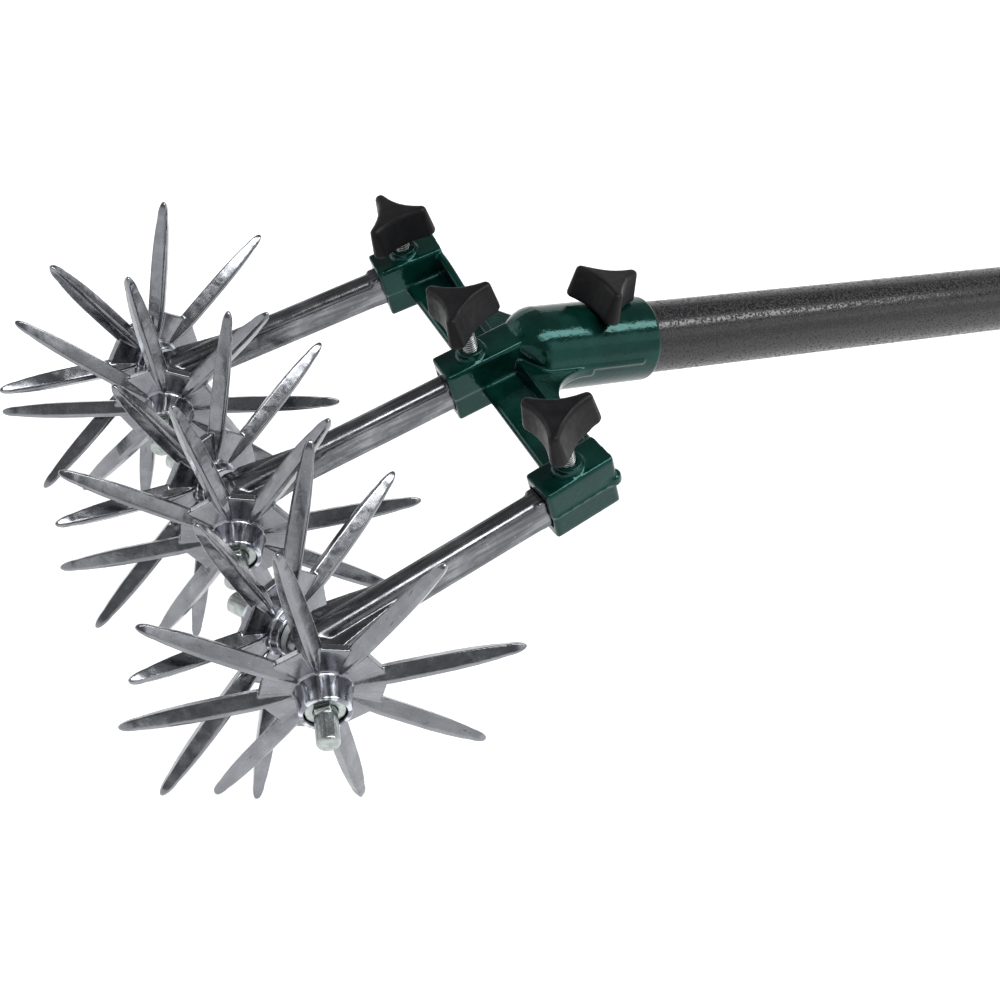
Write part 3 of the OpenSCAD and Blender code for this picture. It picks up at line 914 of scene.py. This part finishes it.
@dataclass(frozen=True)
class Softening:
    """How far a CAD solid's edges are rounded, as on a cast, painted or moulded piece.

    Attributes:
        voxel: size of the cells in which the solid is drawn again.
        passes: how often the new skin is smoothed.
        keep: share of its faces that is kept.
        pull: strength of one smoothing.
        weld: distance at which two corners are one.
    """

    voxel: float
    passes: int
    keep: float
    pull: float = 0.5
    weld: float = 0.002 * MM

    def apply(self, node: str, name: str, own: Matrix,
              add: Additions | None = None) -> bpy.types.Object:
        """Make a rounded copy of a node.

        Args:
            node: name of the CAD node.
            name: name of the new piece.
            own: the piece's own axes, along which its skin is laid.
            add: adds closed forms to the mesh before it is rounded.

        Returns:
            The piece.
        """
        mesh = frame["nodes"][node].data.copy()
        mesh.transform(own.inverted())
        work = bmesh.new()
        work.from_mesh(mesh)
        bmesh.ops.remove_doubles(work, verts=work.verts, dist=self.weld)
        if add is not None:
            add(work)
        work.to_mesh(mesh)
        work.free()
        obj = linked(name, mesh)
        skin = obj.modifiers.new("skin", "REMESH")
        skin.mode = "VOXEL"
        skin.voxel_size = self.voxel
        smooth = obj.modifiers.new("round", "SMOOTH")
        smooth.factor = self.pull
        smooth.iterations = self.passes
        obj.modifiers.new("lighten", "DECIMATE").ratio = self.keep
        ready = obj.evaluated_get(bpy.context.evaluated_depsgraph_get())
        final = bpy.data.meshes.new_from_object(ready)
        obj.modifiers.clear()
        obj.data = final
        final.polygons.foreach_set("use_smooth", [True] * len(final.polygons))
        final.transform(own)
        keep_axes(final, own)
        return obj


HEAD_SKIN = Softening(voxel=0.45 * MM, passes=10, keep=0.25)
BAR_SKIN = Softening(voxel=0.45 * MM, passes=14, keep=0.5)
PIN_SKIN = Softening(voxel=0.3 * MM, passes=3, keep=0.3)
STAR_SKIN = Softening(voxel=0.32 * MM, passes=7, keep=0.25)
SMALL_SKIN = Softening(voxel=0.25 * MM, passes=3, keep=0.3)
KNOB_SKIN = Softening(voxel=0.35 * MM, passes=7, keep=0.3)
GRIP_SKIN = Softening(voxel=0.7 * MM, passes=4, keep=0.4)


@dataclass
class Lathe:
    """Turns round pieces: rings of points about an axis.

    Attributes:
        point: where the axis starts.
        axis: its direction.
        sides: how many points a ring has.
    """

    point: Vector
    axis: Vector
    sides: int = 96

    def ring(self, height: float, radii: list[float]) -> list[Vector]:
        """Lay one ring.

        Args:
            height: its place along the axis.
            radii: radius of each of its points.

        Returns:
            The points.
        """
        across = self.axis.orthogonal().normalized()
        other = self.axis.cross(across)
        turns = [2 * math.pi * k / self.sides for k in range(self.sides)]
        return [self.point + self.axis * height
                + (across * math.cos(a) + other * math.sin(a)) * r for a, r in zip(turns, radii)]

    def band(self, low: int, high: int) -> list[tuple[int, ...]]:
        """Join two rings by faces.

        Args:
            low: number of the first point of the lower ring.
            high: number of the first point of the upper ring.

        Returns:
            The faces.
        """
        turns = [(k, (k + 1) % self.sides) for k in range(self.sides)]
        return [(low + k, low + n, high + n, high + k) for k, n in turns]

    def build(self, name: str, rings: list[tuple[float, float]],
              closed: bool = True) -> bpy.types.Object:
        """Turn a profile about the axis.

        Args:
            name: name of the piece.
            rings: height along the axis and radius of each ring, in metres.
            closed: join the last ring to the first.

        Returns:
            The piece.
        """
        points, faces = [], []
        for height, radius in rings:
            points += self.ring(height, [radius] * self.sides)
        count = len(rings)
        for i in range(count if closed else count - 1):
            faces += self.band(i * self.sides, (i + 1) % count * self.sides)
        return smooth_piece(name, points, faces)


@dataclass
class HeadCasting:
    """The painted head with its sockets and collar."""

    skin: Softening = HEAD_SKIN

    def build(self) -> None:
        """Make and dress the head."""
        own = axes(*joint("knob_middle_turn"), SIDEWAYS)
        head = self.skin.apply("head_casting", "head_body", own)
        settle(head, "frame", ENAMEL, "head_casting")


@dataclass
class ShankSet:
    """A shank with the bent axle through its boss.

    Attributes:
        place: where the shank is clamped.
        wheels: numbers of its two wheels.
        skin: softening of the shank.
        pin_skin: softening of the axle.
    """

    place: Place
    wheels: tuple[int, int]
    skin: Softening = BAR_SKIN
    pin_skin: Softening = PIN_SKIN

    def build(self) -> None:
        """Make and dress the shank and its axle."""
        name = self.place.value
        (start, first), (_, second) = (joint(f"wheel_{n}_spin") for n in self.wheels)
        up = first.cross(second)
        own = axes(start, up if up.z > 0 else -up, first + second)
        bar = self.skin.apply(f"shank_{name}", f"{name}_shank_bar", own)
        settle(bar, "frame", BAR_CASTING, f"shank_{name}")
        pin = self.pin_skin.apply(f"axle_{name}", f"{name}_axle_pin", own)
        settle(pin, "frame", ZINC, f"axle_{name}")


@dataclass
class StarWheel:
    """A star wheel with its spacer and washer.

    Attributes:
        number: number of the wheel.
        skin: softening of the wheel.
        small_skin: softening of the spacer and the washer.
        tines: how many tines it has.
        ridge_start: distance from the axis at which a tine's ridge starts.
        ridge_end: distance at which the ridge has grown to the tine.
        ridge: half width, half crest and half thickness of the ridge, each in mm where it
            starts and as the growth up to its end.
        point: length of a tine's rounded tip.
        wide: half width of a tine.
        crest: half width of a tine's crest.
        high: half thickness of a tine.
        blunt: share of the tine's section at which the tip begins.
    """

    number: int
    skin: Softening = STAR_SKIN
    small_skin: Softening = SMALL_SKIN
    tines: int = 8
    ridge_start: float = 8.6 * MM
    ridge_end: float = 23.0 * MM
    ridge: tuple[tuple[float, float], ...] = ((1.0, 3.2), (0.5, 0.3), (1.7, 2.25))
    point: float = 7.0 * MM
    wide: float = 4.25 * MM
    crest: float = 0.8 * MM
    high: float = 4.0 * MM
    blunt: float = 0.63

    def build(self) -> None:
        """Make and dress the wheel, the spacer and the washer."""
        n = self.number
        own = axes(*joint(f"wheel_{n}_spin"), UP)
        star = self.skin.apply(f"star_wheel_{n}", f"wheel_{n}_star", own, self.shape)
        settle(star, f"wheel_{n}", CASTING, f"star_wheel_{n}")
        for kind, finish in (("spacer", NYLON), ("washer", ZINC)):
            small = self.small_skin.apply(f"{kind}_{n}", f"wheel_{n}_{kind}", own)
            settle(small, "frame", finish, f"{kind}_{n}")

    def shape(self, work: bmesh.types.BMesh) -> None:
        """Run every tine's ridge in to the hub's foot, and round its tip.

        Args:
            work: mesh of the wheel in its own axes.
        """
        tip = max(work.verts, key=lambda v: v.co.x ** 2 + v.co.y ** 2).co
        start, reach = math.atan2(tip.y, tip.x), math.hypot(tip.x, tip.y)
        ridge, point = [], []
        for u in (0.0, 0.25, 0.5, 0.75, 1.0):
            grown = math.sin(u * math.pi / 2)
            out = self.ridge_start + (self.ridge_end - self.ridge_start) * u
            ridge.append((out, *((first + growth * grown) * MM for first, growth in self.ridge)))
        for u in (0.0, 0.25, 0.5, 0.7, 0.85, 0.95, 0.99):
            share = self.blunt * math.sqrt(1 - u * u)
            section = (share * half for half in (self.wide, self.crest, self.high))
            point.append((reach - self.point * (1 - u), *section))
        for k in range(self.tines):
            turn = Matrix.Rotation(start + 2 * math.pi * k / self.tines, 4, "Z")
            self.loft(work, turn, ridge)
            self.loft(work, turn, point)

    def loft(self, work: bmesh.types.BMesh, turn: Matrix,
             sections: list[tuple[float, ...]]) -> None:
        """Add a closed body of the tine's six-sided section.

        Args:
            work: mesh that it is added to.
            turn: direction of the tine.
            sections: each section's distance from the axis, half width, half crest and half
                thickness.
        """
        rings = []
        for out, wide, crest, high in sections:
            over = ((wide, 0), (crest, high), (-crest, high))
            under = ((-wide, 0), (-crest, -high), (crest, -high))
            rings.append([work.verts.new(turn @ Vector((out, y, z))) for y, z in over + under])
        work.faces.new(rings[0])
        work.faces.new(rings[-1][::-1])
        sides = len(rings[0])
        for inner, outer in zip(rings, rings[1:]):
            for j in range(sides):
                i = (j + 1) % sides
                work.faces.new((inner[i], inner[j], outer[j], outer[i]))


@dataclass
class Clamp:
    """A three-lobed knob with its threaded stud.

    Attributes:
        place: what it clamps.
        skin: softening of the knob.
        pitch: pitch of the thread.
        depth: depth of the thread.
        steep: how steeply the thread's flanks rise, in depths a turn.
        hollow: how much of that rise its flat roots take away.
        slim: share of the CAD stud's radius that the thread fills.
        chamfer: size of the chamfer at the stud's foot.
        sides: points round the thread.
        steps: rings to one pitch.
    """

    place: Place
    skin: Softening = KNOB_SKIN
    pitch: float = 1.0 * MM
    depth: float = 0.42 * MM
    steep: float = 2.6
    hollow: float = 0.15
    slim: float = 0.995
    chamfer: float = 0.9 * MM
    sides: int = 28
    steps: int = 8

    def build(self) -> None:
        """Make and dress the knob and the stud."""
        name = self.place.value
        body = f"clamp_{name}"
        own = axes(*joint(f"knob_{name}_turn"), SIDEWAYS)
        knob = self.skin.apply(f"knob_{name}", f"{name}_knob_star", own)
        settle(knob, body, PLASTIC, f"knob_{name}")
        stud = self.stud(name)
        keep_axes(stud.data, own)
        settle(stud, body, THREAD, f"stud_{name}")

    def stud(self, name: str) -> bpy.types.Object:
        """Make a rod with a real thread, as long and nearly as thick as the CAD stud.

        Args:
            name: name of the clamp.

        Returns:
            The stud.
        """
        lathe = Lathe(*joint(f"knob_{name}_turn"), self.sides)
        low, high, radius = spans(f"stud_{name}", lathe.point, lathe.axis)
        count = round((high - low) / self.pitch * self.steps)
        points, faces = [lathe.point + lathe.axis * low], []
        for i in range(count + 1):
            height = low + (high - low) * i / count
            points += lathe.ring(height, self.thread(radius * self.slim, height, low))
        points.append(lathe.point + lathe.axis * high)
        for i in range(count):
            faces += lathe.band(1 + i * self.sides, 1 + (i + 1) * self.sides)
        top, last = 1 + count * self.sides, len(points) - 1
        for k in range(self.sides):
            n = (k + 1) % self.sides
            faces += [(0, 1 + n, 1 + k), (last, top + k, top + n)]
        return smooth_piece(f"{name}_stud_thread", points, faces)

    def thread(self, radius: float, height: float, foot: float) -> list[float]:
        """Shape one ring of the thread.

        Args:
            radius: outer radius of the thread.
            height: the ring's place along the axis.
            foot: place of the stud's foot, which is chamfered.

        Returns:
            The radius at each side.
        """
        limit = radius - max(0.0, self.chamfer - (height - foot))
        radii = []
        for k in range(self.sides):
            turn = (height / self.pitch + k / self.sides) % 1
            tooth = min(1.0, max(0.0, abs(turn - 0.5) * self.steep - self.hollow))
            radii.append(min(radius - self.depth * (1 - tooth), limit))
        return radii


@dataclass
class Handle:
    """The tube and the grip on its end.

    Attributes:
        grip_skin: softening of the grip.
        tube_node: name of the tube's CAD node.
        wall: thickness of the tube's wall.
        lip: size of the rounding at the tube's ends.
        bands: rings along the tube.
        end_zone: how far from an end of the tube its last ring may lie.
    """

    grip_skin: Softening = GRIP_SKIN
    tube_node: str = "handle_tube"
    wall: float = 1.2 * MM
    lip: float = 0.3 * MM
    bands: int = 40
    end_zone: float = 60 * MM

    def build(self) -> None:
        """Make and dress the tube and the grip."""
        axis, point = self.line()
        own = axes(point, axis, SIDEWAYS)
        tube = Lathe(point, axis).build("tube_body", self.profile(point, axis))
        keep_axes(tube.data, own)
        settle(tube, "frame", HAMMERTONE, self.tube_node)
        grip = self.grip_skin.apply("handle_grip", "grip_sleeve", own)
        settle(grip, "frame", RUBBER, "handle_grip")

    def line(self) -> tuple[Vector, Vector]:
        """Find the handle's axis from the rings at the tube's two ends.

        Returns:
            Its direction and a point on it.
        """
        places = [v.co for v in frame["nodes"][self.tube_node].data.vertices]
        ends = []
        for pick in (min, max):
            y = pick(p.y for p in places)
            near = [p for p in places if abs(p.y - y) < self.end_zone]
            ends.append(sum(near, Vector()) / len(near))
        low, high = ends
        return (high - low).normalized(), low

    def profile(self, point: Vector, axis: Vector) -> list[tuple[float, float]]:
        """Draw half of the tube's long section.

        Args:
            point: point on the handle's axis.
            axis: direction of the handle.

        Returns:
            Height along the axis and radius of each corner.
        """
        low, high, radius = spans(self.tube_node, point, axis)
        inner, lip = radius - self.wall, self.lip
        start = [(low, inner + lip), (low, radius - lip), (low + lip, radius)]
        long = [(low + (high - low) * k / self.bands, radius) for k in range(1, self.bands)]
        end = [(high - lip, radius), (high, radius - lip), (high, inner + lip)]
        return start + long + end + [(high - lip, inner), (low + lip, inner)]


@dataclass(frozen=True)
class Lamp:
    """A soft rectangular lamp.

    Attributes:
        name: its name.
        place: where it hangs, in metres.
        aim: the point that it lights.
        size: its two sides, in metres.
        power: its power in watts.
    """

    name: str
    place: Triple
    aim: Triple
    size: tuple[float, float]
    power: float

    def build(self) -> None:
        """Hang the lamp."""
        light = bpy.data.lights.new(self.name, "AREA")
        light.shape = "RECTANGLE"
        light.size, light.size_y = self.size
        light.energy = self.power
        obj = linked(self.name, light)
        obj.location = self.place
        beam = Vector(self.aim) - Vector(self.place)
        obj.rotation_euler = beam.to_track_quat("-Z", "Y").to_euler()
        obj.visible_camera = False


WINDOW = Lamp("window", (1.25, 0.75, 1.10), (0, 0.75, 0.10), (2.4, 0.6), 5.0)
OVERHEAD = Lamp("overhead", (0.55, 0.2, 1.65), (0, 0.2, 0.1), (2.4, 0.50), 31.0)
LEFT = Lamp("left", (-1.2, -1.5, 0.7), (0, -0.55, 0.1), (0.8, 0.8), 2.5)


@dataclass
class Studio:
    """Floor, backdrop, lamps and camera.

    Attributes:
        floor_size: side of the square floor, in metres.
        wall_radius: radius of the round wall.
        wall_height: height of the wall.
        wall_sides: flat sides of the wall.
        lamps: the lamps.
        room: brightness of the room's even light.
        lens: focal length of the camera, in mm.
        film: width of its picture, in mm.
        shift: how far its lens is shifted, as a share of the picture.
        clip: nearest and farthest distance that it sees.
        eye: its place.
        tilt: its turn about X, Y and Z, in degrees.
    """

    floor_size: float = 14.0
    wall_radius: float = 6.5
    wall_height: float = 3.0
    wall_sides: int = 64
    lamps: tuple[Lamp, ...] = (WINDOW, OVERHEAD, LEFT)
    room: float = 0.24
    lens: float = 55.97
    film: float = 36.0
    shift: tuple[float, float] = (0.00437, -0.01014)
    clip: tuple[float, float] = (0.01, 50.0)
    eye: Triple = (0.427164, -0.765491, 0.461005)
    tilt: Triple = (50.1016, -6.6528, 64.0303)

    def build(self) -> None:
        """Set up all of the studio."""
        self.paper()
        self.light()
        self.camera()
        bpy.context.scene.view_settings.view_transform = "Standard"
        log.info("studio ready")

    def paper(self) -> None:
        """Lay a white floor, and put up a low round wall of the same paper."""
        mesh = bpy.data.meshes.new("paper_floor")
        half = self.floor_size / 2
        edge = [(-half, -half, 0), (half, -half, 0), (half, half, 0), (-half, half, 0)]
        mesh.from_pydata(edge, [], [(0, 1, 2, 3)])
        floor = linked("paper_floor", mesh)
        rings = [(0.0, self.wall_radius), (self.wall_height, self.wall_radius)]
        wall = Lathe(Vector(), UP, self.wall_sides).build("paper_wall", rings, closed=False)
        wall.visible_shadow = False
        for obj in (floor, wall):
            obj.data.materials.append(PAPER.material())

    def light(self) -> None:
        """Hang the lamps in an evenly lit room."""
        world = bpy.data.worlds.new("room")
        bpy.context.scene.world = world
        world.use_nodes = True
        back = world.node_tree.nodes["Background"]
        back.inputs["Color"].default_value = (1, 1, 1, 1)
        back.inputs["Strength"].default_value = self.room
        for lamp in self.lamps:
            lamp.build()

    def camera(self) -> None:
        """Set up the camera at the photograph's viewing angle."""
        data = bpy.data.cameras.new("camera")
        data.sensor_width = self.film
        data.lens = self.lens
        data.shift_x, data.shift_y = self.shift
        data.clip_start, data.clip_end = self.clip
        obj = linked("camera", data)
        obj.location = self.eye
        obj.rotation_euler = [math.radians(a) for a in self.tilt]
        bpy.context.scene.camera = obj


def corners(box: tuple[Vector, Vector]) -> list[list[float]]:
    """A box as plain lists of numbers."""
    return [list(map(float, box[0])), list(map(float, box[1]))]


def main() -> None:
    """Build every sub-assembly and the studio."""
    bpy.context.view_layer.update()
    HeadCasting().build()
    for place, wheels in WHEELS.items():
        ShankSet(place, wheels).build()
    for number in sum(WHEELS.values(), ()):
        StarWheel(number).build()
    for place in Place:
        Clamp(place).build()
    Handle().build()
    Studio().build()
    log.info("sizes written")


if __name__ == "__main__":
    main()
